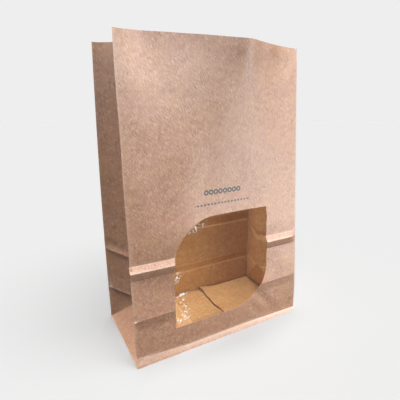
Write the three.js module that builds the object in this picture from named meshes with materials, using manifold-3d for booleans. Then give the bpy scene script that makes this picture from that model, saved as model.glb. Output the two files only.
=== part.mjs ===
// An open, block-bottomed bag of brown kraft paper with a clear film window in its front panel.
// Millimetres. X runs across the front panel, -Y is the front, +Z is up, and the base stands on z = 0.
import * as THREE from 'three';
import { mergeVertices } from 'three/addons/utils/BufferGeometryUtils.js';
import Module from 'manifold-3d';

const wasm = await Module();
wasm.setup();

// ---- Driving dimensions ----

// The sheet, as cut and folded
const bagWidth = 216; // front and back panels
const bagDepth = 110; // each gusseted side, unfolded
const panelLength = 331; // from the fold at the base to the cut edge of the mouth
const wall = 1.2; // the sheet with its glued laps, drawn stiff

// How the opened bag stands
const frontLean = 21; // the front panel tips back by this much at the mouth
const backLean = 5; // the back panel tips forward by this much
const mouthPinch = 2.5; // each corner of the mouth comes inwards by this much
const mouthBulge = 23; // the middle of the mouth's front edge stands proud of the line between its corners
const bulgeStart = -82; // x where the bulge leaves that line
const bulgeRidge = 25; // x of its ridge
const bulgeEnd = 104; // x where it meets the line again
const bulgeFoot = 150; // height at which the front panel is flat again
const baseTuck = 1.5; // the lowest strip of each panel rolls under the base by this much
const baseStrip = 4.5; // height of that strip

// Fold lines left by the flat bag: [height, how far the panel stands out there]
const frontPleats = [[0, 0], [48, 0], [53, -0.7], [58, 0], [98, 0], [106, 1.4], [112.5, 0]];
const backPleats = [[0, 0], [34.5, 0], [41, 1.1], [47, 0], [97, 0], [104, 1.2], [111, 0]];

// The gusseted sides
const leftTriangleTilt = 60; // degrees from the floor to the triangle at the foot of the left side
const rightTriangleTilt = 67;
const backHalfBow = 5; // curve of a gusset's back half at the mouth, towards the back panel
const frontHalfBow = 2.5; // curve of its front half, towards the front panel
const bowFoot = 120; // height at which both halves are flat

// The window, cut out of the front panel: two opposite corners are round and two are sharp
const windowWidth = 124;
const windowHeight = 120;
const windowSill = 30.5; // height of its lower edge
const windowRadius = 50;

// The film, glued behind the front panel
const filmThickness = 0.5;
const filmGap = 0.3;
const filmLap = 12; // the film reaches past the window by this much

// The folded-in side flaps that lie on the floor of the bag
const leftFlapEdge = -24; // x of the free edge of the left one
const rightFlapEdge = 20.5; // x of the free edge of the right one, which lies on top
const flapThickness = 0.8;
const flapLift = 2.2; // how far the right one's free edge has sprung up
const liftLength = 26;
const flapMargin = 2; // the flaps stop this far inside the base's outline

// How finely the curved surfaces are divided
const bowSteps = 4;
const columnStep = 24;
const windowArcSteps = 14;
const levelHeights = [0, baseStrip, 18, 34.5, 41, 47, 53, 58, 78, 98, 104, 106, 112.5, 130, 150, 180, 210, 240, 270, 300];

// ---- Worked-out values ----

const mouthHeight = Math.sqrt(panelLength ** 2 - frontLean ** 2);
const halfWidth = bagWidth / 2;
const halfDepth = bagDepth / 2;
const radians = THREE.MathUtils.degToRad;
const lerp = THREE.MathUtils.lerp;

const sides = { left: side(-1, leftTriangleTilt), right: side(1, rightTriangleTilt) };
const levels = [...levelHeights, sides.left.apexHeight, sides.right.apexHeight, mouthHeight].sort((a, b) => a - b);

// A gusseted side: the triangle at its foot leans in from the base's edge to an apex on the centre crease.
function side(sign, triangleTilt) {
  return {
    sign,
    apexInset: halfDepth * Math.cos(radians(triangleTilt)),
    apexHeight: halfDepth * Math.sin(radians(triangleTilt)),
  };
}

// Value at t of the straight pieces that join the given [t, value] points, held level past both ends.
function along(points, t) {
  for (let i = 1; i < points.length; i += 1) {
    const [start, low] = points[i - 1];
    const [end, high] = points[i];
    if (t <= end) return lerp(low, high, THREE.MathUtils.clamp((t - start) / (end - start), 0, 1));
  }
  return points[points.length - 1][1];
}

// Share of the mouth's shape that a height has: 0 up to foot, 1 at the mouth.
function climb(z, foot) {
  return THREE.MathUtils.clamp((z - foot) / (mouthHeight - foot), 0, 1) ** 1.5;
}

const cornerX = (z) => halfWidth - mouthPinch * climb(z, 0);
const tuck = (z) => baseTuck * (1 - Math.min(z / baseStrip, 1));
const bulgeShape = (x) => along([[bulgeStart, 0], [bulgeRidge, 1], [bulgeEnd, 0]], x);

// Outer faces of the two panels
function frontY(x, z) {
  const lean = frontLean * (z / mouthHeight);
  const bulge = mouthBulge * climb(z, bulgeFoot) * bulgeShape(x);
  return -halfDepth + lean - bulge - along(frontPleats, z) + tuck(z);
}

function backY(z) {
  return halfDepth - backLean * (z / mouthHeight) + along(backPleats, z) - tuck(z);
}

// ---- Plan outline of the bag at one height ----

// A point of a gusseted side is [q, y], with q measured inwards from the side's outer fold.
// Its halves meet on the centre crease, which runs from the triangle's apex up to the mouth.
function creaseAt(gusset, z) {
  const { apexInset, apexHeight } = gusset;
  const mouthFront = frontY(halfWidth, mouthHeight);
  const mouthBack = backY(mouthHeight);
  const mouthInset = Math.sqrt(halfDepth ** 2 - ((mouthBack - mouthFront) / 2) ** 2);
  const t = (z - apexHeight) / (mouthHeight - apexHeight);
  return [lerp(apexInset, mouthInset, t), lerp(0, (mouthFront + mouthBack) / 2, t)];
}

// Where a half of the side ends at this height: on the centre crease, or lower down on the triangle's edge.
function halfEnd(gusset, z, facing) {
  if (z >= gusset.apexHeight) return creaseAt(gusset, z);
  const t = z / gusset.apexHeight;
  return [gusset.apexInset * t, facing * halfDepth * (1 - t)];
}

// Offset of the straight line through a half of the side, towards the panel that it folds from.
// facing is -1 for the front half and 1 for the back half.
function offsetHalf(gusset, z, facing, inset) {
  const corner = [0, facing < 0 ? frontY(halfWidth, z) : backY(z)];
  const end = halfEnd(gusset, z, facing);
  const low = Math.max(z, 1);
  const lowEnd = halfEnd(gusset, low, facing);
  const lowCorner = facing < 0 ? frontY(halfWidth, low) : backY(low);
  const run = new THREE.Vector2(lowEnd[0], lowEnd[1] - lowCorner).normalize();
  const normal = new THREE.Vector2(Math.abs(run.y), facing * run.x);
  const panelY = corner[1] - facing * inset;
  const start = [corner[0] + normal.x * inset, corner[1] + normal.y * inset];
  const toPanel = (panelY - start[1]) / run.y;
  return { corner, end, run, normal, start, panelY, insetCorner: [start[0] + run.x * toPanel, panelY] };
}

// Where the lines of two offset halves cross
function crossing(a, b) {
  const turn = a.run.x * b.run.y - a.run.y * b.run.x;
  const t = ((b.start[0] - a.start[0]) * b.run.y - (b.start[1] - a.start[1]) * b.run.x) / turn;
  return [a.start[0] + a.run.x * t, a.start[1] + a.run.y * t];
}

// One gusseted side at one height, from its front corner to its back corner
function sideOutline(gusset, z, inset) {
  const halves = [-1, 1].map((facing) => {
    const half = offsetHalf(gusset, z, facing, inset);
    const reach = half.end[0] + inset;
    const towards = (reach - half.start[0]) / half.run.x;
    const edge = [reach, half.start[1] + half.run.y * towards];
    const squeezed = (edge[1] - half.panelY) * facing > 0;
    const squareCorner = [reach, half.panelY];
    return { ...half, facing, from: squeezed ? squareCorner : half.insetCorner, to: squeezed ? squareCorner : edge };
  });
  if (z >= gusset.apexHeight) {
    const crease = crossing(...halves);
    halves.forEach((half) => { half.to = crease; });
  }
  const [front, back] = halves.map((half) => {
    const bow = (half.facing < 0 ? frontHalfBow : backHalfBow) * climb(z, bowFoot);
    return Array.from({ length: bowSteps + 1 }, (_, i) => {
      const t = i / bowSteps;
      const out = bow * 4 * t * (1 - t);
      return [
        lerp(half.from[0], half.to[0], t) + half.normal.x * out,
        lerp(half.from[1], half.to[1], t) + half.normal.y * out,
      ];
    });
  });
  const x = (q) => gusset.sign * (cornerX(z) - q);
  return [...front, ...back.reverse()].map(([q, y]) => [x(q), y]);
}

// Columns of a panel between its corners, with one on each line where the mouth's bulge turns
function columnsBetween(stops) {
  return stops.slice(1).flatMap((stop, i) => {
    const count = Math.max(1, Math.round((stop - stops[i]) / columnStep));
    return Array.from({ length: count }, (_, n) => lerp(stops[i], stop, (n + 1) / count));
  });
}

const frontColumns = [bulgeStart, ...columnsBetween([bulgeStart, bulgeRidge, 96])];

// The whole outline, seen from above and anticlockwise, inset from the bag's outer face
function outline(z, inset) {
  const right = sideOutline(sides.right, z, inset);
  const left = sideOutline(sides.left, z, inset).reverse();
  const front = frontColumns.map((x) => [x, frontY(x, z) + inset]);
  return [...front, ...right, ...left].map(([x, y]) => new THREE.Vector2(x, y));
}

// ---- Solids ----

function geometryFrom(points, triangles) {
  const geometry = new THREE.BufferGeometry();
  geometry.setAttribute('position', new THREE.Float32BufferAttribute(points.flatMap((p) => [p.x, p.y, p.z]), 3));
  geometry.setIndex(triangles.flat());
  return tidied(geometry);
}

// Shared vertices are merged, and triangles that have closed up to a line are dropped.
function tidied(geometry) {
  geometry.deleteAttribute('normal');
  geometry.deleteAttribute('uv');
  const merged = mergeVertices(geometry, 1e-4);
  const index = merged.getIndex().array;
  const kept = [];
  for (let i = 0; i < index.length; i += 3) {
    const [a, b, c] = index.slice(i, i + 3);
    if (a !== b && b !== c && c !== a) kept.push(a, b, c);
  }
  merged.setIndex(kept);
  return merged;
}

// A solid through rings of equally many points, closed by a fan at each end
function lofted(rings) {
  const count = rings[0].length;
  const points = rings.flat();
  const triangles = [];
  for (let level = 0; level < rings.length - 1; level += 1) {
    for (let i = 0; i < count; i += 1) {
      const next = (i + 1) % count;
      const [a, b] = [level * count + i, level * count + next];
      triangles.push([a, b, b + count], [a, b + count, a + count]);
    }
  }
  [0, rings.length - 1].forEach((level) => {
    const centre = points.push(new THREE.Vector3(0, 0, rings[level][0].z)) - 1;
    for (let i = 0; i < count; i += 1) {
      const [a, b] = [level * count + i, level * count + ((i + 1) % count)];
      triangles.push(level === 0 ? [centre, b, a] : [centre, a, b]);
    }
  });
  return geometryFrom(points, triangles);
}

function ring(z, inset, drawnAt = z) {
  return outline(z, inset).map((p) => new THREE.Vector3(p.x, p.y, drawnAt));
}

function solid(geometry) {
  const merged = tidied(geometry);
  return new wasm.Manifold(new wasm.Mesh({
    numProp: 3,
    vertProperties: Float32Array.from(merged.getAttribute('position').array),
    triVerts: Uint32Array.from(merged.getIndex().array),
  }));
}

function meshOf(name, manifold, material) {
  const { vertProperties, triVerts } = manifold.getMesh();
  const geometry = new THREE.BufferGeometry();
  geometry.setAttribute('position', new THREE.BufferAttribute(Float32Array.from(vertProperties), 3));
  geometry.setIndex(new THREE.BufferAttribute(Uint32Array.from(triVerts), 1));
  geometry.computeVertexNormals();
  const mesh = new THREE.Mesh(geometry, material);
  mesh.name = name;
  return mesh;
}

// The folded sheet: the bag's outer form, less its inside, which is open at the mouth
function folds() {
  const past = 5;
  const outside = levels.map((z) => ring(z, 0));
  const inside = levels.filter((z) => z > wall).map((z) => ring(z, wall));
  const floor = ring(wall, wall);
  const above = ring(mouthHeight, wall, mouthHeight + past);
  return solid(lofted(outside)).subtract(solid(lofted([floor, ...inside, above])));
}

// The cut-out, pushed through the front panel alone
function windowCutter() {
  const [left, right] = [-windowWidth / 2, windowWidth / 2];
  const [low, high] = [windowSill, windowSill + windowHeight];
  const shape = new THREE.Shape();
  shape.moveTo(left, low);
  shape.lineTo(right - windowRadius, low);
  shape.absarc(right - windowRadius, low + windowRadius, windowRadius, -Math.PI / 2, 0, false);
  shape.lineTo(right, high);
  shape.lineTo(left + windowRadius, high);
  shape.absarc(left + windowRadius, high - windowRadius, windowRadius, Math.PI / 2, Math.PI, false);
  const reach = 30;
  const geometry = new THREE.ExtrudeGeometry(shape, { depth: reach, bevelEnabled: false, curveSegments: windowArcSteps });
  geometry.rotateX(Math.PI / 2);
  geometry.translate(0, -halfDepth + reach / 2 + frontLean / 4, 0);
  return solid(geometry);
}

// A side flap on the floor: a flat layer, with its free edge lifted where it has sprung up
function floorFlap(gusset, freeEdge, lift) {
  const root = gusset.sign * (halfWidth - flapMargin);
  const bend = freeEdge + gusset.sign * liftLength;
  const top = wall + flapThickness;
  const section = new THREE.Shape([
    new THREE.Vector2(root, wall / 2),
    new THREE.Vector2(root, top),
    new THREE.Vector2(bend, top),
    new THREE.Vector2(freeEdge, top + lift),
    new THREE.Vector2(freeEdge, wall / 2),
  ]);
  const across = 2 * (halfDepth - flapMargin);
  const geometry = new THREE.ExtrudeGeometry(section, { depth: across, bevelEnabled: false });
  geometry.rotateX(Math.PI / 2);
  geometry.translate(0, across / 2, 0);
  return solid(geometry);
}

// The film: a slab that follows the inner face of the front panel
function film() {
  const reach = windowWidth / 2 + filmLap;
  const [low, high] = [windowSill - filmLap, windowSill + windowHeight + filmLap];
  const columns = [-reach, ...columnsBetween([-reach, bulgeRidge, reach])];
  const heights = [low, ...levels.filter((z) => z > low && z < high), high];
  const slab = (inset) => heights.map((z) => columns.map((x) => new THREE.Vector3(x, frontY(x, z) + inset, z)));
  const near = slab(wall + filmGap);
  const far = slab(wall + filmGap + filmThickness);
  const rings = near.map((row, i) => [...row, ...far[i].slice().reverse()]);
  return solid(stripSolid(rings));
}

// A solid through rings that are thin strips, so each end is closed by quads across the strip
function stripSolid(rings) {
  const count = rings[0].length;
  const half = count / 2;
  const triangles = [];
  for (let level = 0; level < rings.length - 1; level += 1) {
    for (let i = 0; i < count; i += 1) {
      const [a, b] = [level * count + i, level * count + ((i + 1) % count)];
      triangles.push([a, b, b + count], [a, b + count, a + count]);
    }
  }
  const top = (rings.length - 1) * count;
  for (let i = 0; i < half - 1; i += 1) {
    const [a, b, c, d] = [i, i + 1, count - 2 - i, count - 1 - i];
    triangles.push([a, d, c], [a, c, b], [top + a, top + b, top + c], [top + a, top + c, top + d]);
  }
  return geometryFrom(rings.flat(), triangles);
}

// ---- The two pieces ----

const kraftPaper = new THREE.MeshStandardMaterial({ color: '#bd9b83', roughness: 0.82, metalness: 0 });
const clearFilm = new THREE.MeshStandardMaterial({
  color: '#eee9df', roughness: 0.12, metalness: 0, transparent: true, opacity: 0.22,
});

const bag = folds()
  .add(floorFlap(sides.left, leftFlapEdge, 0))
  .add(floorFlap(sides.right, rightFlapEdge, flapLift))
  .subtract(windowCutter());

const paperBag = new THREE.Group();
paperBag.add(meshOf('paper_bag', bag, kraftPaper));
paperBag.add(meshOf('window_film', film(), clearFilm));

// The origin is under the middle of the whole bag.
const middle = new THREE.Box3().setFromObject(paperBag).getCenter(new THREE.Vector3());
paperBag.position.set(-middle.x, -middle.y, 0);

export default paperBag;
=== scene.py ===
# %% [markdown]
# # An open kraft paper bag with a window
# A block-bottomed bag is one sheet of kraft paper, glued to a tube, folded flat and glued again
# at the foot. This one has been opened and stands empty, so it still shows where it was folded.
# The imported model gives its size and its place, and this script gives it the look of real paper.

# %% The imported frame
import math

import bmesh
import bpy
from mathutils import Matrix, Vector, noise


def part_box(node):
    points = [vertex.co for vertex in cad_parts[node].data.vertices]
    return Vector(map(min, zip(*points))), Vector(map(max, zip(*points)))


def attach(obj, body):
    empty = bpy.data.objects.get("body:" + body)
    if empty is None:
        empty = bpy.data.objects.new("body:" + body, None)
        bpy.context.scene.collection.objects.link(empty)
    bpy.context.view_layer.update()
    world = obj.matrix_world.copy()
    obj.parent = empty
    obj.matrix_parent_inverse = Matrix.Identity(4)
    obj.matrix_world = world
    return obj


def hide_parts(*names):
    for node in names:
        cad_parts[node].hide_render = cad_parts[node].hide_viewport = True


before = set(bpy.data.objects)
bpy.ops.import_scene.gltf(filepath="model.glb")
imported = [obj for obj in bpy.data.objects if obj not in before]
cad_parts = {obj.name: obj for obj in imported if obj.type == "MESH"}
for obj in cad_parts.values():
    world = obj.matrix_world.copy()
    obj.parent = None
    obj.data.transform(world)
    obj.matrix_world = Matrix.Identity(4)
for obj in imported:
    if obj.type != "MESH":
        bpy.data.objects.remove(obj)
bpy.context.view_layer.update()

print("packed nodes:", sorted(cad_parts))

# %% [markdown]
# ## Sizes
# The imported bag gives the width, the depth and the height. How it leans and where it was folded
# are values of this real bag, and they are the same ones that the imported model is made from.
# All lengths below are millimetres, and they turn into metres only where a point is placed.

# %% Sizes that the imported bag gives
MM = 0.001
bag_low, bag_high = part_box("paper_bag")
bag_width = (bag_high.x - bag_low.x) / MM
mouth_height = bag_high.z / MM
half_width = bag_width / 2

foot_height = 0.1  # what lies lower is on the floor
base_tuck = 1.5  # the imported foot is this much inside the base's outline, front and back
packed_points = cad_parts["paper_bag"].data.vertices
foot_points = [v.co.y / MM for v in packed_points if v.co.z < foot_height * MM]
middle_y = (min(foot_points) + max(foot_points)) / 2
half_depth = (max(foot_points) - min(foot_points)) / 2 + base_tuck
bag_depth = 2 * half_depth
print(f"bag {bag_width:.1f} x {bag_depth:.1f} x {mouth_height:.1f} mm")
print(f"middle of the base at y {middle_y:.2f} mm")

# %% How the opened bag stands
front_lean = 21.0  # how far back the front panel's top is, over its foot
back_lean = 5.0
mouth_pinch = 2.5  # at the mouth each side is this much further in than at the foot
bulge_foot = 150.0  # the bulge of the mouth starts at this height
triangle_tilt = {-1: 60.0, 1: 67.0}  # degrees from the floor, left and right
panel_length = math.hypot(mouth_height, front_lean)
sheet_thickness = 0.35  # real kraft paper is 0.1 mm thick, which would be too thin to show its edge
print(f"panels {panel_length:.1f} mm long")

# %% [markdown]
# ## Small helpers for curves
# Folds are straight pieces between a few heights. A soft swell is a smooth curve through a few
# points. Both are written once here, and every shape below is made from them.


# %% Curves through a few points
def share(value, start, end):
    """How far value is from start to end, held between 0 and 1."""
    return min(max((value - start) / (end - start), 0.0), 1.0)


def ease(t):
    return t * t * (3 - 2 * t)


def mix(a, b, t):
    return a + (b - a) * t


def along(points, at):
    """Straight pieces through (position, value) points."""
    for (start, low), (end, high) in zip(points, points[1:]):
        if at <= end:
            return mix(low, high, share(at, start, end))
    return points[-1][1]


def flowing(points, at):
    """A smooth curve through (position, value) points."""
    if at <= points[0][0]:
        return points[0][1]
    for i in range(len(points) - 1):
        (start, low), (end, high) = points[i], points[i + 1]
        if at <= end:
            before = points[max(i - 1, 0)]
            after = points[min(i + 2, len(points) - 1)]
            step = end - start
            slope_in = (high - before[1]) / (end - before[0]) * step
            slope_out = (after[1] - low) / (after[0] - start) * step
            t = (at - start) / step
            return (
                low * (2 * t**3 - 3 * t**2 + 1)
                + slope_in * (t**3 - 2 * t**2 + t)
                + high * (3 * t**2 - 2 * t**3)
                + slope_out * (t**3 - t**2)
            )
    return points[-1][1]


climb_power = 1.5  # over 1, so that the shape of the mouth starts softly


def climb(z, foot):
    """Share of the mouth's shape that a height has."""
    return share(z, foot, mouth_height) ** climb_power


print(f"at z 240 mm the front has {climb(240, bulge_foot):.2f} of the mouth's bulge")

# %% [markdown]
# ## The camera
# The camera stands where it stood for the picture: low, in front of the left corner of the bag,
# and tipped down by about fifteen degrees. Its distance and its lens were worked out together
# from the bag's corners, since a short lens close by makes the near edge taller than the far one.

# %% The camera
picture_size = 400
focal_pixels = 339.0
principal_point = (212.4, 197.0)  # pixel that the lens points at
camera_azimuth = math.radians(-29.98)
camera_elevation = math.radians(14.57)
camera_place = Vector((-188.6, -349.5 + middle_y, 261.7)) * MM

camera_data = bpy.data.cameras.new("camera")
camera = bpy.data.objects.new("camera", camera_data)
bpy.context.scene.collection.objects.link(camera)
camera.location = camera_place
camera.rotation_euler = (math.radians(90) - camera_elevation, 0, camera_azimuth)
camera_data.sensor_width = 36
camera_data.lens = focal_pixels / picture_size * camera_data.sensor_width
camera_data.shift_x = 0.5 - principal_point[0] / picture_size
camera_data.shift_y = principal_point[1] / picture_size - 0.5
camera_data.clip_start = 0.01
bpy.context.scene.camera = camera
print(f"lens {camera_data.lens:.2f} mm, {camera_place.length / MM:.0f} mm from the base")

# %% [markdown]
# ## The bag's shape, as a rule
# Paper bends but hardly stretches. So the sheet is first laid out flat, where a point is given by
# u, its place round the bag, and v, its height up the sheet. The rule below then says where each
# point of the flat sheet is once the bag is folded and opened. u is 0 on the front left fold, and
# grows to the right across the front, the right side and the back.

# %% Where the front and the back panel are
front_pleats = [(0, 0), (20, -0.2), (42, -0.9), (51.3, -0.3), (52.6, 0.9), (72, 0.2),
                (96.5, -0.6), (98, 0.0), (105.5, 2.1), (112.5, -0.5), (128, 0)]
back_pleats = [(0, 0), (34.5, 0), (36.5, 0.9), (44.5, 0.3), (46, -0.4), (58, 0),
               (97, 0), (99, 1.0), (109.5, 0.3), (111, -0.5), (124, 0)]
pleat_fade = 9.0  # the front's pleats run out over this stretch, at its right edge
# Across a side: (height at its front fold, height at its back fold, how far it stands out)
lower_side_fold = [(44, 32, -1), (56.5, 41, -0.5), (58.5, 43, 0.25), (63, 48, 0.2), (74, 62, 0)]
upper_side_fold = [(92, 91, 0), (98, 97, 1.3), (105, 104, 0)]
side_tuck = {-1: 2.4, 1: 1.0}  # under its lower fold the left side is pressed in further
strip_line = [(-108, 10), (-50, 6.0), (30, 6.3), (108, 4.3)]  # top of the front's lowest strip
back_strip = 4.5  # and of the back's
strip_press = {"front": 1.6, "back": 0.9}  # at its top the lowest strip is pressed in by this much
press_reach = 45.0  # above this height the panel isn't pressed in

# How far the mouth's front edge stands out from the line between its corners: (x, out)
mouth_edge = [(-108, 0), (-84, -1.8), (-62, 2.2), (-26, 10.6), (8, 18.6), (22, 21.8),
              (30, 21.2), (47, 15.2), (69, 7.6), (92, 0.6), (108, 0)]
# Lower down the bulge is one soft swell, and the edge's own bends have died out
soft_bulge = [(-108, 0), (-80, 1.5), (-50, 5.5), (-20, 11.5), (8, 16.6),
              (32, 17), (57, 11.8), (83, 4.2), (108, 0)]
edge_reach = 52.0  # this far down from the mouth
# Left of its middle the panel also bows out a little, most in the middle of its height
left_bow = [(-108, 0), (-84, 2.6), (-50, 3.6), (-15, 1.8), (25, 0)]
bow_starts, bow_full, bow_fades = 60.0, 150.0, 240.0

# The front of the mouth hangs a little lower in some places than in others: (x, down)
mouth_drop = [(-108, 1.3), (-60, 0.6), (-20, 0.9), (10, 1.5), (35, 1.7), (60, 2.1),
              (85, 1.6), (108, 1.9)]
back_corner_bulge = 1.5  # the back left fold bows out by this much, half way up


def mouth_dip(x, v):
    return along(mouth_drop, x) * share(v, 0, panel_length) ** 2


def corner_bow(v):
    return back_corner_bulge * math.sin(math.pi * share(v, 0, panel_length))


def foot_press(panel, v, strip):
    """The panel is pressed in most along the top of its lowest strip."""
    return strip_press[panel] * min(share(v, 0, strip), ease(share(v, press_reach, strip)))


def corner_x(z):
    return half_width - mouth_pinch * climb(z, 0)


def front_y(x, v):
    z = v * mouth_height / panel_length
    lean = front_lean * z / mouth_height
    edge_share = ease(share(v, panel_length - edge_reach, panel_length))
    bulge = climb(z, bulge_foot) * mix(flowing(soft_bulge, x), flowing(mouth_edge, x), edge_share)
    pleat = along(front_pleats, v) * ease(share(x, half_width, half_width - pleat_fade))
    bow_height = ease(share(v, bow_starts, bow_full)) * ease(share(v, panel_length, bow_fades))
    out = bulge + flowing(left_bow, x) * bow_height + pleat
    return -half_depth + lean - out + foot_press("front", v, along(strip_line, x))


def back_y(v):
    z = v * mouth_height / panel_length
    out = along(back_pleats, v) - foot_press("back", v, back_strip)
    return half_depth - back_lean * z / mouth_height + out


widest_x = 25
mouth_depth = back_y(panel_length) - front_y(widest_x, panel_length)
print(f"the mouth is {mouth_depth:.0f} mm deep at the bulge")

# %% [markdown]
# A gusseted side has three parts. A triangle at the foot leans inwards, and above it two halves
# meet on a crease down the middle. Each half is ruled: a straight line runs from the bag's corner
# to the triangle's edge or to the crease, and the higher part of it bows a little.

# %% Where a gusseted side is
mouth_front = front_y(half_width, panel_length)
mouth_back = back_y(panel_length)
crease_inset = math.sqrt(half_depth**2 - ((mouth_back - mouth_front) / 2) ** 2)
bow_foot = 120.0  # below this height the two halves are flat
half_bow = {-1: 2.5, 1: 5.0}  # how far the front and the back half bow out at the mouth


def triangle_point(side, s, v):
    """On the triangle at the foot: inset from the bag's side, y and z."""
    tilt = math.radians(triangle_tilt[side])
    return Vector((v * math.cos(tilt), s - half_depth, v * math.sin(tilt)))


def crease_point(side, v):
    """On the crease down the middle of a side, above the triangle."""
    apex = triangle_point(side, half_depth, half_depth)
    t = share(v, half_depth, panel_length)
    return apex.lerp(Vector((crease_inset, (mouth_front + mouth_back) / 2, mouth_height)), t)


def side_point(side, s, v):
    """s runs from the front fold of the side to its back fold."""
    facing = -1 if s <= half_depth else 1
    from_fold = min(s, bag_depth - s)
    if v <= from_fold:
        return triangle_point(side, s, v)
    z = v * mouth_height / panel_length
    corner = Vector((0, front_y(half_width, v) if facing < 0 else back_y(v), z))
    if v <= half_depth:
        end = triangle_point(side, v if facing < 0 else bag_depth - v, v)
    else:
        end = crease_point(side, v)
    t = from_fold / min(v, half_depth)
    run = (end - corner).normalized()
    outwards = Vector((abs(run.y), facing * run.x, 0))
    bow = half_bow[facing] * climb(z, bow_foot) * 4 * t * (1 - t)
    return corner.lerp(end, t) + outwards * bow


print(f"at the mouth the sides fold in by {crease_inset:.0f} mm")

# %% [markdown]
# Below v = 0 the sheet turns under. The flaps of the two sides lie on the floor of the bag, and
# the long flaps of the front and the back close the base under them, overlapping in the middle.
# On the back panel the two ends of the sheet overlap too, where the tube was glued.

# %% Where the flaps of the base are
flap_reach = {"front": 66.0, "back": 66.0, "left": 84.0, "right": 87.5}
flap_layer = {"front": 0.0, "back": 0.8, "left": 1.25, "right": 1.65}  # height of its lower face
layer_climb = 5.0  # a flap reaches its layer this far in from the fold
flap_share = 0.95  # the short flaps are a little narrower than the base is deep
seam_u = 2 * half_width + bag_depth + 148  # where the outer end of the sheet is, on the back
seam_lap = 15.0
seam_rise = 0.4
seam_step = 3.0  # the outer layer climbs over the edge of the inner one within this


def lapped(u):
    """How far the outer end of the sheet stands out from the inner one at the seam."""
    lap_start = seam_u - seam_lap
    return seam_rise * ease(share(u, lap_start - seam_step, lap_start))


sprung_strip = 30.0  # the last stretch of the right flap has sprung up
edge_height, edge_wave, edge_ripple = 2.9, 1.1, 0.6
uneven_strip = 20.0  # and over this stretch its edge starts to wander
wander_wave, wander_ripple = 1.1, 0.5


def flap_lift(s, inward, reach):
    """The right flap's free edge has sprung up, more at the front and the back than between."""
    near_edge = share(inward, reach - sprung_strip, reach) ** 1.6
    wave = edge_wave * math.cos(s / bag_depth * 2 * math.pi) + edge_ripple * math.sin(s / 8.0)
    return near_edge * (edge_height + wave)


def panel_of(u):
    if u < -bag_depth:
        return "back"
    if u < 0:
        return "left"
    if u <= bag_width:
        return "front"
    if u <= bag_width + bag_depth:
        return "right"
    return "back"


hair = 0.01  # places on the sheet aren't exact to the last digit


def flap_of(u):
    """The flap below the base's edge. The lines between two flaps are edges of the short ones."""
    if -bag_depth - hair < u < hair:
        return "left"
    if bag_width - hair < u < bag_width + bag_depth + hair:
        return "right"
    return panel_of(u)


def side_place(panel, u):
    """Which side it is, -1 left or 1 right, and s, the way from its front fold."""
    return (-1, -u) if panel == "left" else (1, u - bag_width)


def back_x(u):
    if u < 0:
        return -half_width + (-bag_depth - u)
    return half_width - (u - bag_width - bag_depth)


def flap_point(u, inward):
    panel = flap_of(u)
    height = flap_layer[panel] * ease(share(inward, 0, layer_climb))
    if panel == "front":
        return Vector((u - half_width, -half_depth + inward, height))
    if panel == "back":
        low = height - lapped(u) * share(inward, 0, layer_climb)
        return Vector((back_x(u), half_depth - inward, low))
    side, s = side_place(panel, u)
    if side > 0:
        height += flap_lift(s, inward, flap_reach[panel])
        near_edge = share(inward, flap_reach[panel] - uneven_strip, flap_reach[panel])
        wander = wander_wave * math.sin(s / 10 + 1) + wander_ripple * math.sin(s / 4.3)
        inward += near_edge * wander
    narrower = mix(1, flap_share, share(inward, 0, layer_climb))
    return Vector((side * (half_width - inward), (s - half_depth) * narrower, height))


corner_reach = 60.0  # the bow of the back left fold dies out over this much of the back
back_dip = 0.25  # the back fold of a side dips by this share of the front's dip


def folded(u, v):
    """Where a point of the flat sheet is on the opened bag, from the middle of its base."""
    if v < 0:
        return flap_point(u, -v)
    panel = panel_of(u)
    z = v * mouth_height / panel_length
    pinch = corner_x(z) / half_width
    if panel == "front":
        x = u - half_width
        return Vector((x * pinch, front_y(x, v), z - mouth_dip(x, v)))
    if panel == "back":
        x = back_x(u)
        bow = corner_bow(v) * share(x, -half_width + corner_reach, -half_width) ** 2
        return Vector((x * pinch - bow, back_y(v) + lapped(u), z))
    side, s = side_place(panel, u)
    inset, y, z = side_point(side, s, v)
    dip = mouth_dip(side * half_width, v) * mix(back_dip, 1, share(s, bag_depth, half_depth))
    if side < 0 and v > 0:
        from_fold = bag_depth - s
        inset -= corner_bow(v) * share(from_fold, min(v, half_depth), 0)
    return Vector((side * (corner_x(z) - inset), y, z - dip))


print("front right corner of the mouth:", [round(c, 1) for c in folded(bag_width, panel_length)])

# %% [markdown]
# ## Cutting the sheet
# The sheet could be drawn point by point, but it is easier to trust when it is cut as the real
# one is: a flat grid for each panel, joined edge to edge, with a cut along each fold so that the
# paper can bend there. Everything is deselected first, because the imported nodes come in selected.


# %% Helpers for edit mode
same_place = 0.00001  # metres; points that are closer than this are one point
grid_step = 3.0
cut_reach = 0.8 * grid_step  # a cut reaches every face that a line crosses, and few others


def select_only(piece):
    bpy.ops.object.select_all(action="DESELECT")
    piece.select_set(True)
    bpy.context.view_layer.objects.active = piece


def open_for_editing(piece):
    select_only(piece)
    bpy.ops.object.mode_set(mode="EDIT")
    bpy.ops.mesh.select_mode(type="FACE")
    bpy.ops.mesh.select_all(action="DESELECT")


def select_faces(piece, test):
    """Selects the faces whose middle passes the test, and says how many they are."""
    bpy.ops.mesh.select_all(action="DESELECT")
    sheet = bmesh.from_edit_mesh(piece.data)
    count = 0
    for face in sheet.faces:
        if test(face.calc_center_median() / MM):
            face.select_set(True)
            count += 1
    bmesh.update_edit_mesh(piece.data)
    return count


def cut_selected(through, facing):
    bpy.ops.mesh.bisect(plane_co=Vector(through) * MM, plane_no=facing, threshold=same_place)


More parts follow.
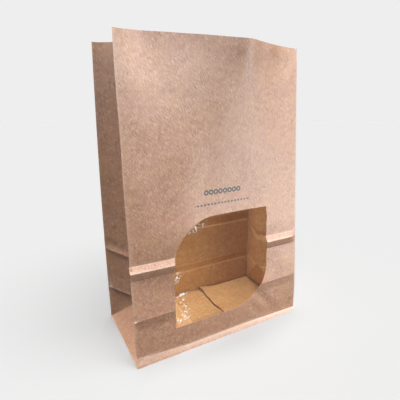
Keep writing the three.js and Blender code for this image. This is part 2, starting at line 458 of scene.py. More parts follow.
def cut_along(start, end):
    """Cuts the sheet along a straight line, only near that line."""
    start, end = Vector((*start, 0)), Vector((*end, 0))
    run = end - start

    def beside_line(p):
        nearest = start + run * share((p - start).dot(run), 0, run.length_squared)
        return (p - nearest).length < cut_reach

    select_faces(bag, beside_line)
    outwards = Vector((run.y, -run.x, 0)).normalized()
    cut_selected(start, outwards)
    return start, outwards


def flat_grid(name, u_from, u_to, v_from, v_to, columns, rows):
    """A grid in the flat sheet, made at its size and place."""
    bpy.ops.object.select_all(action="DESELECT")
    bpy.ops.mesh.primitive_grid_add(x_subdivisions=columns, y_subdivisions=rows, size=1)
    grid = bpy.context.object
    grid.name = name
    bpy.ops.object.mode_set(mode="EDIT")
    bpy.ops.transform.resize(value=((u_to - u_from) * MM, (v_to - v_from) * MM, 1))
    bpy.ops.transform.translate(value=((u_from + u_to) / 2 * MM, (v_from + v_to) / 2 * MM, 0))
    bpy.ops.object.mode_set(mode="OBJECT")
    return grid


print("edit helpers are ready")

# %% The panels, edge to edge
panel_rows = round(panel_length / grid_step)
back_start = seam_u - seam_lap - 2 * (bag_width + bag_depth)
panel_ends = [back_start, -bag_depth, 0, bag_width, bag_width + bag_depth, seam_u]


def even_columns(width):
    return 2 * round(width / grid_step / 2)


grids = []
for u_from, u_to in zip(panel_ends, panel_ends[1:]):
    columns = even_columns(u_to - u_from)
    grids.append(flat_grid("panel", u_from, u_to, 0, panel_length, columns, panel_rows))
    flap = flap_reach[panel_of((u_from + u_to) / 2)]
    grids.append(flat_grid("flap", u_from, u_to, -flap, 0, columns, round(flap / grid_step)))

bpy.ops.object.select_all(action="DESELECT")
for grid in grids:
    grid.select_set(True)
bpy.context.view_layer.objects.active = grids[0]
bpy.ops.object.join()
bag = bpy.context.object
bag.name = "bag_paper"
bpy.ops.object.mode_set(mode="EDIT")
bpy.ops.mesh.select_all(action="SELECT")
bpy.ops.mesh.remove_doubles(threshold=same_place)
bpy.ops.object.mode_set(mode="OBJECT")
print(f"flat sheet: {len(bag.data.polygons)} faces, {seam_u - back_start:.0f} mm round")

# %% [markdown]
# The corners of the long flaps are cut away at 45 degrees, and the four flaps come apart along
# those cuts. The same 45 degree lines run up the sides as folds, where each triangle ends.

# %% Cutting the flaps apart
open_for_editing(bag)
long_flaps = [(0, bag_width), (bag_width + bag_depth, 2 * bag_width + bag_depth),
              (-bag_depth - bag_width, -bag_depth)]
for left, right in long_flaps:
    for corner, lean in ((left, 1), (right, -1)):
        def near_corner(p, corner=corner, lean=lean, left=left, right=right):
            in_from_corner = (p.x - corner) * lean
            return p.y < 0 and left < p.x < right and in_from_corner < half_depth + 2 * grid_step
        select_faces(bag, near_corner)
        cut_selected((corner, 0, 0), (lean, 1, 0))


def cut_away(p):
    """The corners outside the 45 degree lines, down to where the flap's end runs straight."""
    if p.y >= 0:
        return False
    for left, right in long_flaps:
        if left < p.x < right:
            in_from_corner = min(p.x - left, right - p.x)
            return in_from_corner < min(-p.y, half_depth)
    return False


removed = select_faces(bag, cut_away)
bpy.ops.mesh.delete(type="FACE")
print(removed, "faces cut away at the corners of the long flaps")

# %% Folds across the sides
for start in (-bag_depth, bag_width):
    middle, end = start + half_depth, start + bag_depth
    for left, right, corner, lean in ((start, middle, start, -1), (middle, end, end, 1)):
        def at_triangle(p, left=left, right=right):
            return left < p.x < right and 0 < p.y < half_depth + grid_step
        select_faces(bag, at_triangle)
        cut_selected((corner, 0, 0), (1, lean, 0))
print("the triangles of both sides are marked out")

# %% Folds across the panels
fold_heights = {
    "front": [v for v, _ in front_pleats[1:]],
    "back": [back_strip] + [v for v, _ in back_pleats[1:]],
}
for panel, heights in fold_heights.items():
    for v in heights:
        def on_fold(p, panel=panel, v=v):
            return abs(p.y - v) < 2 * grid_step and panel_of(p.x) == panel
        select_faces(bag, on_fold)
        cut_selected((0, v, 0), (0, 1, 0))
for start, away in ((0, -1), (bag_width, 1)):
    for at_front, at_back, _ in lower_side_fold + upper_side_fold:
        cut_along((start, at_front), (start + away * bag_depth, at_back))
for (x0, v0), (x1, v1) in zip(strip_line, strip_line[1:]):
    cut_along((x0 + half_width, v0), (x1 + half_width, v1))
bpy.ops.object.mode_set(mode="OBJECT")
print(f"with its folds the sheet has {len(bag.data.polygons)} faces")

# %% [markdown]
# ## The window
# The window was punched before the bag was folded. Two opposite corners are round and two are
# sharp. A boolean could punch it too, but the outline bulges everywhere, so cutting the sheet
# along each of its edges in turn leaves exactly the punched piece, which is then deleted.

# %% The window's outline
window_left, window_right = -62.0, 61.6
window_sill, window_top = 30.8, 150.4
window_radius = 50.0
arc_steps = 20


def window_outline():
    """Points in (x, v), anticlockwise from the lower left corner."""
    points = [(window_left, window_sill)]
    round_corners = [
        (window_right - window_radius, window_sill + window_radius, -90),
        (window_left + window_radius, window_top - window_radius, 90),
    ]
    for centre_x, centre_v, first_angle in round_corners:
        for i in range(arc_steps + 1):
            angle = math.radians(first_angle + 90 * i / arc_steps)
            x = centre_x + window_radius * math.cos(angle)
            points.append((x, centre_v + window_radius * math.sin(angle)))
        if first_angle < 0:
            points.append((window_right, window_top))
    return points


outline = window_outline()
print(len(outline), "points round the window")

# %% Punching the window
open_for_editing(bag)
punch_lines = []
for (x0, v0), (x1, v1) in zip(outline, outline[1:] + outline[:1]):
    punch_lines.append(cut_along((x0 + half_width, v0), (x1 + half_width, v1)))


def punched(p):
    return all((p - at).dot(out) < 0 for at, out in punch_lines)


removed = select_faces(bag, punched)
bpy.ops.mesh.delete(type="FACE")
bpy.ops.object.mode_set(mode="OBJECT")
print(removed, "faces punched out of the front panel")

# %% [markdown]
# ## The flat sheet as the paper's own map
# Fibres and print lie in the paper, and bend with it. So before it is folded the sheet keeps its
# flat place as a UV map, which every pattern of the paper is then drawn in.

# %% The paper's own map
map_width = 800.0  # millimetres of flat sheet across the whole map
map_foot = -100.0  # the map starts this far down, under the longest flap
paper_map = bag.data.uv_layers.new(name="flat_sheet")
for loop in bag.data.loops:
    place = bag.data.vertices[loop.vertex_index].co / MM
    paper_map.data[loop.index].uv = ((place.x - back_start) / map_width, (place.y - map_foot) / map_width)
print("one map unit is", map_width, "mm of paper")

# %% [markdown]
# ## Folding the bag
# No single operator folds a bag, so the rule from above does it: every point of the flat sheet
# moves to its folded place. Then the marks of use are pressed in: soft swells in the large
# panels, and the dents and crumples that this bag has.

# %% Marks of use
# Each is a ridge or a hollow: (x, v, half length, half width, turn in degrees, rise)
front_marks = [
    (-101, 190.0, 8, 1.5, -14, 0.35),  # two short creases in the left edge
    (-103, 149.5, 6, 1.2, -8, 0.30),
    (60, 328, 12, 7, 20, 0.7),  # the crumpled corner of the mouth, right of the bulge
    (75, 315, 10, 4, -25, -0.8),
    (88, 324, 10, 6, 30, 0.6),
    (66, 300, 12, 4, -40, -0.3),
    (95, 300, 14, 5, 60, 0.35),
    (57, 33, 20, 6, -42, -0.9),  # soft folds below the window's round corner
    (70, 26, 18, 5, -48, 0.6),
    (44, 21, 10, 5, -60, -0.6),
    (-104, 2, 7, 1.6, 35, 0.5),  # crushed paper in the lower left corner
    (-100, 5, 6, 1.3, -25, -0.4),
]


def mark_height(marks, x, v):
    total = 0.0
    for mark_x, mark_v, long, wide, turn, rise in marks:
        angle = math.radians(turn)
        dx, dv = x - mark_x, v - mark_v
        along_it = (dx * math.cos(angle) + dv * math.sin(angle)) / long
        across_it = (-dx * math.sin(angle) + dv * math.cos(angle)) / wide
        distance = along_it**2 + across_it**2
        if distance < 9:
            total += rise * math.exp(-distance)
    return total


print("deepest mark:", min(mark[-1] for mark in front_marks), "mm")

# %% Edges that aren't quite straight
wander_from, wander_to = window_top - 62, window_top + 4  # along the right edge of the window
wander_reach = 8.0
fold_jut = [(98, 0), (111, -0.9), (112, -0.9), (115, 0)]  # (v, how far to the right)
jut_reach = 7.0


def edge_wander(x, v):
    """The right edge of the window isn't quite straight."""
    if not wander_from < v < wander_to:
        return 0.0
    near = ease(share(abs(x - window_right), wander_reach, 0))
    near *= ease(share(v, wander_to, window_top - wander_reach))
    return near * (0.5 * math.sin(v / 6.5) + 0.35 * math.sin(v / 3.1 + 1))


def fold_wander(u, v):
    """The front left fold juts out a little where the upper cross fold ends in it."""
    sway = 0.25 * math.sin(v / 17) * share(v, 20, 60)
    return ease(share(abs(u), jut_reach, 0)) * (along(fold_jut, v) + sway)


print(f"the front left fold juts out by {-fold_wander(0, fold_jut[1][0]):.1f} mm")

# %% How the panels swell, and how the sides are creased
swells = [(0.9, 70, 1), (0.4, 26, 2), (0.08, 9, 4)]  # (height, size, seed)
foot_calm = (2, 40)  # the swells grow between these heights
edge_calm = 20.0  # and die out this close to the upright folds
side_calm = 9.0
front_floor = 0.2  # but on the front this share of them runs up to the folds
flap_swell = (0.12, 22, 3)
curl_height = 2.0  # a loose sliver of paper on the left side, by its back fold
curl_up = [(42, 0), (45, 1), (50, 1), (60, 0)]
curl_across = [(0, 0), (4, 1), (9, 0)]


def swell(u, v, size, seed):
    return noise.noise(Vector((u / size, v / size, seed)))


def side_crease(side, s, v):
    """The cross folds of a side run from the front panel's heights to the back panel's."""
    t = share(s, 0, bag_depth)
    lower = [(mix(f, b, t), rise) for (f, b, rise) in lower_side_fold]
    upper = [(mix(f, b, t), rise) for (f, b, rise) in upper_side_fold]
    return side_tuck[side] * along(lower, v) + along(upper, v)


def relief(u, v):
    """How far the used paper stands out from the cleanly folded one."""
    if v < 0:
        rise, size, seed = flap_swell
        return rise * swell(u, v, size, seed)
    panel = panel_of(u)
    across = 500 + back_x(u) if panel == "back" else u  # both layers of the seam swell alike
    height = sum(rise * swell(across, v, size, seed) for rise, size, seed in swells)
    height *= ease(share(v, *foot_calm))
    if panel == "front":
        x = u - half_width
        height *= mix(front_floor, 1, ease(share(abs(x), half_width, half_width - edge_calm)))
        return height + mark_height(front_marks, x, v)
    if panel == "back":
        return height * ease(share(abs(back_x(u)), half_width, half_width - edge_calm))
    side, s = side_place(panel, u)
    from_fold = min(s, bag_depth - s)
    inner = ease(share(from_fold, 0, side_calm))
    if v <= from_fold:
        return inner * (0.3 * height - side_tuck[side] * v / from_fold)
    curl = curl_height * along(curl_up, v) * along(curl_across, bag_depth - s)
    return (height + side_crease(side, s, v)) * inner - curl


middle_relief = relief(half_width, (window_top + panel_length) / 2)
print(f"above the window the front panel stands out by {middle_relief:.2f} mm")

# %% Folding and pressing
flat_places = [v.co / MM for v in bag.data.vertices]
base_middle = Vector((0, middle_y, 0))
for vertex, flat in zip(bag.data.vertices, flat_places):
    vertex.co = (folded(flat.x, flat.y) + base_middle) * MM
    if flat.y > 0:
        vertex.co.x += fold_wander(flat.x, flat.y) * MM
    if panel_of(flat.x) == "front" and flat.y > 0:
        vertex.co.x += edge_wander(flat.x - half_width, flat.y) * MM
bag.data.update()

# The sides and flaps are pressed in along their normals. The large panels are pressed straight
# in, so that the two layers at the seam stay apart.
face_on = {"front": Vector((0, -1, 0)), "back": Vector((0, 1, 0))}
normals = [v.normal.copy() for v in bag.data.vertices]
for vertex, flat, normal in zip(bag.data.vertices, flat_places, normals):
    outwards = normal if flat.y < 0 else face_on.get(panel_of(flat.x), normal)
    vertex.co += outwards * relief(flat.x, flat.y) * MM
    vertex.co.z = max(vertex.co.z, 0.0)
bag.data.update()
for axis, name in enumerate("xyz"):
    places = [v.co[axis] / MM for v in bag.data.vertices]
    print(f"folded bag, {name}: {min(places):.1f} to {max(places):.1f} mm")

# %% [markdown]
# Worn folds are paler, because their fibres have cracked and stand up. How worn a place is goes
# on the sheet as an attribute, since it follows the folds and not the object's coordinates. The same
# attribute also carries a pale line along the left side's lower fold, and painted light: painted
# sheen on the front's lowest strip, painted light on the left flap and a painted highlight on the
# curl by the left side's back fold.

# %% How worn each fold is, and where light is painted on
worn_folds = {"front": [105.5, 112.5], "back": [36.5, 46, 99, 111]}
# How pale a line is at its middle, and over how many millimetres that would fall by 1
cross_wear, upright_wear, side_line_paleness, strip_top_wear = (0.5, 2.4), (0.3, 3.0), (1.2, 1.6), (0.8, 1.5)
# The lowest strip of the front is painted paler all over: partly rubbing, and partly painted sheen where it
# flares out towards the light
strip_rub_and_sheen = 0.35  # the whole lowest strip of the front is rubbed
# The left flap is painted paler as painted light, and a painted highlight runs along its free edge
flap_painted_light = 0.25  # and so is the left flap, most of all along its free edge
# The curl's pale sliver is a painted highlight, where the loose paper faces the light
curl_painted_highlight = 1.3
curl_highlight_up = [(41, 0), (44, 1), (52, 1), (62, 0)]


def line_wear(distance, most_and_fall):
    """Most on the line itself, and less to both sides of it."""
    most, fall = most_and_fall
    return most - distance / fall


def wear_and_painted_light(u, v):
    """How pale a place of the sheet is, from 0 to 1: from worn folds, from a pale line on the left side,
    and from painted light.
    """
    panel = panel_of(u)
    if v < 0:
        if panel != "left":
            return 0.0
        # Under the base only the left flap is pale: painted light over the flap, and a painted highlight
        # along its free edge
        free_edge = flap_reach[panel]
        return mix(flap_painted_light, 1, share(-v, free_edge - 2.5, free_edge - 0.5))
    corner_folds = (-bag_depth, 0, bag_width, bag_width + bag_depth)
    paleness = [0.0, line_wear(min(abs(u - edge) for edge in corner_folds), upright_wear)]
    paleness += [line_wear(abs(v - fold), cross_wear) for fold in worn_folds.get(panel, [])]
    if panel == "left":
        # A pale line along the left side's lower fold
        at_front, at_back, _ = lower_side_fold[2]
        line = mix(at_front, at_back, share(-u, 0, bag_depth))
        paleness.append(line_wear(abs(v - line), side_line_paleness))
        # A painted highlight on the curl by the left side's back fold
        paleness.append(curl_painted_highlight * share(bag_depth + u, 7, 2) * along(curl_highlight_up, v))
    if panel == "front":
        strip_top = along(strip_line, u - half_width)
        # Painted sheen, with some rubbing, over the whole lowest strip
        paleness.append(strip_rub_and_sheen * share(v, strip_top + 1, strip_top))
        paleness.append(line_wear(abs(v - strip_top), strip_top_wear))
    return min(max(paleness), 1.0)


paleness = bag.data.attributes.new("wear_and_painted_light", "FLOAT", "POINT")
paleness.data.foreach_set("value", [wear_and_painted_light(flat.x, flat.y) for flat in flat_places])
print("worn points:", sum(1 for w in paleness.data if w.value > 0.3))

# %% [markdown]
# ## The thickness of the paper
# Solidify gives the sheet its thickness, inwards from the outer face. The inner face gets the
# second material slot, because the outside of this paper was glazed and the inside was not.

# %% The thickness of the paper
select_only(bag)
thickness = bag.modifiers.new("thickness", "SOLIDIFY")
thickness.thickness = sheet_thickness * MM
thickness.offset = -1
thickness.use_even_offset = False
thickness.material_offset = 1
thickness.material_offset_rim = 0
print("sheet thickness", sheet_thickness, "mm")

# %% [markdown]
# ## Kraft paper
# Kraft is unbleached wood pulp. Its long brown fibres give it fine streaks along the sheet, and
# clouds a few centimetres wide where the pulp was thicker. The outside is machine-glazed: it was
# dried against a hot polished roll, so it is pinker, paler and a little shiny. The inside is
# rough and hardly shines. Its more golden colour is partly a painted glow, standing for light that
# comes through the thin paper.


# %% Helpers for materials
def linear(colour):
    """An sRGB hex colour, as the linear values that a shader takes."""
    values = [int(colour[i : i + 2], 16) / 255 for i in (1, 3, 5)]
    return [c / 12.92 if c <= 0.04045 else ((c + 0.055) / 1.055) ** 2.4 for c in values] + [1.0]


def node(tree, kind, inputs=None, **settings):
    """Adds a node, with its settings, and sets or links its inputs."""
    made = tree.nodes.new(kind)
    for name, value in settings.items():
        setattr(made, name, value)
    for name, value in (inputs or {}).items():
        if isinstance(value, bpy.types.NodeSocket):
            tree.links.new(value, made.inputs[name])
        else:
            made.inputs[name].default_value = value
    return made


def new_material(name):
    material = bpy.data.materials.new(name)
    material.use_nodes = True
    material.node_tree.nodes.clear()
    return material


print("background", [round(c, 3) for c in linear("#eeeeee")])

# %% What is in the pulp
# Real fibres are a few hundredths of a millimetre wide. These are drawn as coarse as they show.
fibre_width, fibre_length = 1.0, 5.0
grain_size, blotch_size, cloud_size = 1.5, 7.0, 24.0
# (turn in degrees, shift, width, length, detail), in millimetres of the flat sheet
pulp_patterns = {
    "long fibres": (-34, 0, fibre_width, fibre_length, 2),
    "cross fibres": (18, 40, fibre_width, fibre_length, 2),
    "grain": (0, 0, grain_size, grain_size, 2),
    "blotches": (0, 0, blotch_size, blotch_size, 3),
    "straw clouds": (0, 0, cloud_size, cloud_size, 4),
    "pink clouds": (0, 90, 0.8 * cloud_size, 0.8 * cloud_size, 4),
    "pale flecks": (-30, 80, fibre_width, fibre_length, 2),
}
pulp_mix = {"long fibres": 0.36, "cross fibres": 0.20, "grain": 0.24, "blotches": 0.20}
print("patterns in the pulp:", len(pulp_patterns))

# %% [markdown]
# ## The print
# Over the window the bag has a plain print: a row of small rings over a row of fine dashes. Ink
# soaks in and has no thickness, so it is part of the paper's own material, and not a mesh. It is
# drawn in the flat sheet's millimetres, as a press prints it before the bag is folded.

# %% The printed rows
print_colour = "#06200e"
ring_height, ring_pitch, ring_radii = 176.6, 6.0, (1.2, 3.0)
ring_row = (half_width - 24, half_width + 24)
dash_heights, dash_pitch, dash_length = (162.6, 164.4), 4.4, 2.64
dash_row = (half_width - 36, half_width + 36)


def printed(tree, flat):
    """The ink's socket: 1 where the sheet is printed, and 0 elsewhere."""
    sides = node(tree, "ShaderNodeSeparateXYZ", {0: flat})
    u, v = sides.outputs["X"], sides.outputs["Y"]
    in_pitch = node(tree, "ShaderNodeMath", {0: u, 1: ring_pitch, 2: 0.0}, operation="WRAP")
    ring_x = node(tree, "ShaderNodeMath", {0: in_pitch.outputs[0], 1: ring_pitch / 2}, operation="SUBTRACT")
    ring_y = node(tree, "ShaderNodeMath", {0: v, 1: ring_height}, operation="SUBTRACT")
    spot = node(tree, "ShaderNodeCombineXYZ", {"X": ring_x.outputs[0], "Y": ring_y.outputs[0]})
    radius = node(tree, "ShaderNodeVectorMath", {0: spot.outputs[0]}, operation="LENGTH")
    in_dash = node(tree, "ShaderNodeMath", {0: u, 1: dash_pitch, 2: 0.0}, operation="WRAP")
    limits = {
        "ring": [(radius.outputs["Value"], ring_radii), (u, ring_row)],
        "dash": [(in_dash.outputs[0], (0, dash_length)), (u, dash_row), (v, dash_heights)],
    }
    ink = []
    for conditions in limits.values():
        both = 1.0
        for value, (low, high) in conditions:
            middle, spread = (low + high) / 2, (high - low) / 2
            between = node(tree, "ShaderNodeMath", {0: value, 1: middle, 2: spread}, operation="COMPARE")
            both = node(tree, "ShaderNodeMath", {
                0: both, 1: between.outputs[0],
            }, operation="MULTIPLY").outputs[0]
        ink.append(both)
    return node(tree, "ShaderNodeMath", {0: ink[0], 1: ink[1]}, operation="MAXIMUM").outputs[0]


print(f"{(ring_row[1] - ring_row[0]) / ring_pitch:.0f} rings over a row of dashes")

# %% [markdown]
# The paper's colour is built up in layers, from the darkest fibres to the worn folds, whose layer
# also carries the painted light. Both faces share the layers, and differ in their colours and their
# shine. Paper is a poor mirror. But the glazed face has a tight, smooth skin, which the coat stands
# for, with a roughness of its own.

# %% Both faces of the paper
# This also caps how pale the painted light gets
fold_paleness = 0.7  # even a worn fold keeps some of the paper's colour
skin_roughness = 0.35


def kraft(name, pale, deep, straw, pink, wear_and_highlight_colour, roughness, gloss, glaze, flecks, with_print):
    material = new_material(name)
    tree = material.node_tree
    place = node(tree, "ShaderNodeUVMap", uv_map="flat_sheet")
    flat = node(tree, "ShaderNodeMapping", {
        "Vector": place.outputs[0],
        "Location": (back_start, map_foot, 0),
        "Scale": (map_width, map_width, 1),
    }).outputs[0]

    found = {}
    for pattern, (turn, shift, width, length, detail) in pulp_patterns.items():
        turned = node(tree, "ShaderNodeMapping", {
            "Vector": flat, "Location": (shift, shift, 0), "Rotation": (0, 0, math.radians(turn)),
        })
        drawn = node(tree, "ShaderNodeMapping", {
            "Vector": turned.outputs[0], "Scale": (1 / width, 1 / length, 1),
        })
        found[pattern] = node(tree, "ShaderNodeTexNoise", {
            "Vector": drawn.outputs[0], "Scale": 1.0, "Detail": detail,
        }).outputs["Fac"]
    pulp = 0.0
    for pattern, weight in pulp_mix.items():
        pulp = node(tree, "ShaderNodeMath", {
            0: found[pattern], 1: weight, 2: pulp,
        }, operation="MULTIPLY_ADD").outputs[0]

    wear_and_light = node(tree, "ShaderNodeAttribute", attribute_name="wear_and_painted_light").outputs["Fac"]
    # Each layer: where it lies, from which value, up to which value, how much of it, and its colour
    layers = [
        (pulp, 0.40, 0.62, 1.0, pale),
        (found["straw clouds"], 0.42, 0.66, 0.45, straw),
        (found["pink clouds"], 0.45, 0.68, 0.5, pink),
        (found["pale flecks"], 0.57, 0.68, flecks, wear_and_highlight_colour),
        # This layer paints worn folds paler, and also paints the light on the lowest strip, the left flap
        # and the curl
        (wear_and_light, 0.0, 1.0, fold_paleness, wear_and_highlight_colour),
    ]
    if with_print:
        layers.append((printed(tree, flat), 0.0, 1.0, 1.0, print_colour))
    colour = linear(deep)
    for value, low, high, most, layer_colour in layers:
        amount = node(tree, "ShaderNodeMapRange", {
            "Value": value, "From Min": low, "From Max": high, "To Max": most,
        })
        colour = node(tree, "ShaderNodeMix", {
            0: amount.outputs[0], 6: colour, 7: linear(layer_colour),
        }, data_type="RGBA").outputs[2]

    bump = node(tree, "ShaderNodeBump", {"Height": pulp, "Strength": 0.7, "Distance": 0.0005})
    paper = node(tree, "ShaderNodeBsdfPrincipled", {
        "Base Color": colour,
        "Roughness": roughness,
        "IOR": 1.5,
        "Specular IOR Level": gloss,
        "Coat Weight": glaze,
        "Coat Roughness": skin_roughness,
        "Coat Normal": bump.outputs[0],
        "Normal": bump.outputs[0],
    })
    node(tree, "ShaderNodeOutputMaterial", {"Surface": paper.outputs[0]})
    return material


kraft_outside = kraft("kraft paper, glazed side", "#dbae8f", "#a36f53", "#cb9b72", "#c08a74", "#ecd3c2",
                      roughness=0.45, gloss=1.0, glaze=0.9, flecks=0.45, with_print=True)
# The rough side's more golden colours are partly a painted glow, for light that comes through the thin
# paper
rough_side_with_painted_glow = kraft("kraft paper, rough side, partly painted glow", "#e3c297", "#b88e60", "#cba672", "#c49268", "#efd6b2",
                     roughness=0.8, gloss=0.3, glaze=0.0, flecks=0.3, with_print=False)
bag.data.materials.clear()
bag.data.materials.append(kraft_outside)
bag.data.materials.append(rough_side_with_painted_glow)
print("materials on the bag:", [m.name for m in bag.data.materials])

# %% Finishing the bag
bpy.ops.object.modifier_apply(modifier=thickness.name)
for vertex in bag.data.vertices:
    vertex.co.z = max(vertex.co.z, 0.0)
sharp_fold = math.radians(12)  # a fold that bends more than this shows as a crisp line
bpy.ops.object.shade_smooth_by_angle(angle=sharp_fold)
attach(bag, "root")
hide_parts("paper_bag")
bag.data.calc_loop_triangles()
print("bag_paper:", len(bag.data.loop_triangles), "triangles")

# %% [markdown]
# ## The film
# The window is closed by a clear film of plant-based plastic, glued behind the paper. Glass would
# be too flat: the film is as thin as a leaf, so it ripples, and its wrinkles catch the light.
# It lies behind the front panel all round, and sags in a little where nothing holds it.

# %% The film
film_lap = 12.0  # how far it is glued behind the paper
film_gap = 0.25
film_thickness = 0.1
film_sag = 0.6
hold_reach = 6.0  # this near the window's edge the paper still holds it
film_swells = [(0.5, 30, 5), (0.12, 7, 6)]  # (height, size, seed)
pleat_share = 0.75  # the film is stiffer than paper, so it only follows a quarter of a pleat
film_low, film_high = window_sill - film_lap, window_top + film_lap
film_left, film_right = window_left - film_lap, window_right + film_lap
film_step = 1.5
film = flat_grid("window_film_clear", film_left, film_right, film_low, film_high,
                 round((film_right - film_left) / film_step), round((film_high - film_low) / film_step))
# Where white glints are painted on the film: (x, v, half length, half width, turn in degrees, how much)
painted_glint_marks = [
    (-58, 89, 6, 2.6, 70, 1.0),
    (-34, 141, 8, 3.6, 25, 0.8),
    (-54, 67.5, 9, 1.0, 4, 1.0),
    (-53, 60, 2.5, 2, 0, 0.8),
    (-50, 54, 3, 2, 0, 0.8),
    (-49, 47, 4, 1.8, 20, 0.8),
    (-55, 39, 9, 3.5, 8, 0.9),
]
film_flat = [v.co / MM for v in film.data.vertices]
for vertex, flat in zip(film.data.vertices, film_flat):
    x, v = flat.x, flat.y
    from_edge = min(x - window_left, window_right - x, v - window_sill, window_top - v)
    inside = ease(share(from_edge, 0, hold_reach))
    slack = sum(rise * swell(x, v, size, seed) for rise, size, seed in film_swells)
    behind = sheet_thickness + film_gap + film_sag * inside - relief(x + half_width, v)
    depth = behind - inside * min(slack, film_sag)
    eased_pleat = pleat_share * inside * along(front_pleats, v)
    place = Vector((x, front_y(x, v) + depth + eased_pleat, v * mouth_height / panel_length))
    vertex.co = (place + base_middle) * MM
film.data.update()
# This attribute only says where painted glints go; the film's shape doesn't change there
painted_glint_mask = film.data.attributes.new("painted_glint_mask", "FLOAT", "POINT")
painted_glint_places = [min(mark_height(painted_glint_marks, flat.x, flat.y), 1.0) for flat in film_flat]
painted_glint_mask.data.foreach_set("value", painted_glint_places)
print("film:", round(film_right - film_left), "x", round(film_high - film_low), "mm")

# %% [markdown]
# Clear film lets nearly all light through, with a faint warm tint, and mirrors some of it at a
# slant. A Transparent shader does the first, because nothing bends in a sheet so thin. Its mirror
# is kept under a third, since a rippled film never mirrors as a whole. At a few places, most of them
# near its left edge, painted glints are white specks, which the film's own lamp lights.

# %% The film's thickness and material
skin = film.modifiers.new("skin", "SOLIDIFY")
skin.thickness = film_thickness * MM
skin.offset = -1
most_gloss = 0.3
film_haze = 0.012
ripples_per_metre, specks_per_metre = 260.0, 380.0  # so about 4 mm and 3 mm wide
speck_low, speck_high = 0.52, 0.60


def clear_film():
    material = new_material("clear film")
    tree = material.node_tree
    place = node(tree, "ShaderNodeTexCoord").outputs["Object"]
    ripples = node(tree, "ShaderNodeTexNoise", {"Vector": place, "Scale": ripples_per_metre, "Detail": 2.0})
    bump = node(tree, "ShaderNodeBump", {
        "Height": ripples.outputs["Fac"], "Strength": 0.3, "Distance": 0.0004,
    })
    mirror = node(tree, "ShaderNodeBsdfGlossy", {
        "Color": linear("#ffffff"), "Roughness": 0.08, "Normal": bump.outputs[0],
    })
    clear = node(tree, "ShaderNodeBsdfTransparent", {"Color": linear("#fbf6ec")})
    white = node(tree, "ShaderNodeBsdfDiffuse", {"Color": linear("#ffffff")})
    fresnel = node(tree, "ShaderNodeFresnel", {"IOR": 1.2})
    gloss = node(tree, "ShaderNodeMapRange", {
        "Value": fresnel.outputs[0], "From Max": most_gloss, "To Max": most_gloss,
    })
    # The white specks mixed in below are painted glints, placed by the glint mask and broken up by this
    # noise
    glint_specks = node(tree, "ShaderNodeTexNoise", {
        "Vector": place, "Scale": specks_per_metre, "Detail": 3.0, "Roughness": 0.65,
    })
    glint_speck_share = node(tree, "ShaderNodeMapRange", {
        "Value": glint_specks.outputs["Fac"], "From Min": speck_low, "From Max": speck_high,
    })
    glint_mask_node = node(tree, "ShaderNodeAttribute", attribute_name="painted_glint_mask")
    glints = node(tree, "ShaderNodeMath", {
        0: glint_speck_share.outputs[0], 1: glint_mask_node.outputs["Fac"],
    }, operation="MULTIPLY")
    look = clear
    for amount, above in ((film_haze, white), (gloss.outputs[0], mirror), (glints.outputs[0], white)):
        look = node(tree, "ShaderNodeMixShader", {0: amount, 1: look.outputs[0], 2: above.outputs[0]})
    node(tree, "ShaderNodeOutputMaterial", {"Surface": look.outputs[0]})
    return material


film.data.materials.clear()
film.data.materials.append(clear_film())
select_only(film)
bpy.ops.object.modifier_apply(modifier=skin.name)
bpy.ops.object.shade_smooth()
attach(film, "root")
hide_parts("window_film")
print("film faces:", len(film.data.polygons))

# %% [markdown]
# ## Floor and light
# The picture has one pale grey everywhere, and only soft shadows at the foot show the floor. So
# the floor is matched to the background: what its three lamps and the sky put on it makes that
# grey. The floor itself is darker than it looks, so that the bag doesn't redden it.

# %% Floor
backdrop_grey = "#eeeeee"
floor_size = 12.0
floor_shade = (0.25, 0.25, 0.25, 1)
bpy.ops.object.select_all(action="DESELECT")
bpy.ops.mesh.primitive_plane_add(size=floor_size)
floor = bpy.context.object
floor.name = "floor"
floor_paint = new_material("pale floor")
floor_tree = floor_paint.node_tree
matt = node(floor_tree, "ShaderNodeBsdfDiffuse", {"Color": floor_shade})
node(floor_tree, "ShaderNodeOutputMaterial", {"Surface": matt.outputs[0]})
floor.data.materials.append(floor_paint)
floor.visible_diffuse = False  # the bag stands on a pale floor, which mustn't light it from below
floor.visible_glossy = False
print("floor", floor_size, "m wide")

# %% [markdown]
# The picture's light is soft. It comes from above, with more of it from the right. Every lamp
# here lights only its own group. The lamps close by light the paper and not the film, where they
# would show as white patches. The film has a lamp of its own, from the left, for its glints.

# %% Light
sky_level = 0.07
film_lamp_angle, key_angle, contact_angle, fill_angle = [math.radians(a) for a in (7, 44, 10, 30)]


def only_for(name, pieces):
    """A group of pieces that a lamp is allowed to light."""
    group = bpy.data.collections.new(name)
    for piece in pieces:
        group.objects.link(piece)
    return group


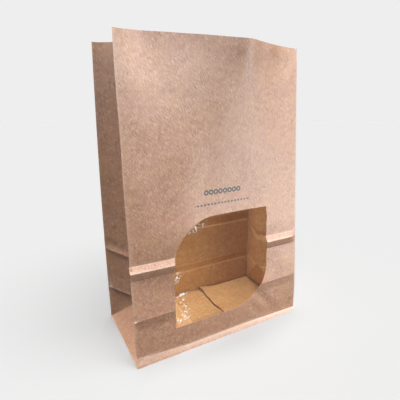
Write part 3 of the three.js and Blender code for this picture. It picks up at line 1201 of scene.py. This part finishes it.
def add_lamp(name, kind, turn, height, strength, group, distance=1.0, **settings):
    """turn is from straight in front to the right, and height is over the horizon, in degrees."""
    data = bpy.data.lights.new(name, kind)
    data.energy = strength
    for setting, value in settings.items():
        setattr(data, setting, value)
    lamp = bpy.data.objects.new(name, data)
    bpy.context.scene.collection.objects.link(lamp)
    across, up = math.radians(turn), math.radians(height)
    aim = Vector((math.sin(across) * math.cos(up), -math.cos(across) * math.cos(up), math.sin(up)))
    lamp.location = aim * distance + Vector((0, 0, mouth_height / 2)) * MM
    lamp.rotation_euler = aim.to_track_quat("Z", "Y").to_euler()
    lamp.light_linking.receiver_collection = group


on_bag = only_for("lit by the bag's lamps", [bag, film])
on_paper = only_for("lit by the paper's own lamps", [bag])
on_film = only_for("lit by the film's lamp", [film])
on_floor = only_for("lit by the floor's lamps", [floor])
soft = math.radians(25)
add_lamp("overhead", "SUN", 0, 88, 2.74, on_bag, angle=soft)
add_lamp("overhead right", "SUN", 90, 65, 4.4, on_bag, angle=soft)
add_lamp("overhead left", "SUN", -90, 65, 1.9, on_bag, angle=soft)
add_lamp("overhead back", "SUN", 180, 65, 2.6, on_bag, angle=soft)
add_lamp("front fill", "SUN", 8, 14, 0.5, on_bag, angle=soft)
add_lamp("left fill", "SUN", -68, 20, 0.28, on_bag, angle=soft)
add_lamp("front upper", "AREA", 14, 38, 2.2, on_paper, size=0.5)
add_lamp("key high", "AREA", 47, 24, 0.95, on_paper, distance=0.6, size=0.4)
add_lamp("key low", "AREA", 42, -10, 1.0, on_paper, distance=0.6, size=0.3)
add_lamp("film light", "SUN", -50, 15, 4.5, on_film, angle=film_lamp_angle)
add_lamp("floor key", "SUN", 28, 67, 4.4, on_floor, angle=key_angle)
add_lamp("floor contact", "SUN", 170, 86, 3.1, on_floor, angle=contact_angle)
add_lamp("floor fill", "SUN", -30, 50, 4.4, on_floor, angle=fill_angle)

world = bpy.data.worlds.new("studio")
world.use_nodes = True
bpy.context.scene.world = world
sky = world.node_tree
sky.nodes.clear()
seen = node(sky, "ShaderNodeLightPath")
backdrop = node(sky, "ShaderNodeBackground", {"Color": linear(backdrop_grey), "Strength": 1.0})
fill = node(sky, "ShaderNodeBackground", {"Color": (1, 1, 1, 1), "Strength": sky_level})
either = node(sky, "ShaderNodeMixShader", {
    0: seen.outputs["Is Camera Ray"], 1: fill.outputs[0], 2: backdrop.outputs[0],
})
node(sky, "ShaderNodeOutputWorld", {"Surface": either.outputs[0]})
bpy.context.scene.view_settings.view_transform = "Standard"
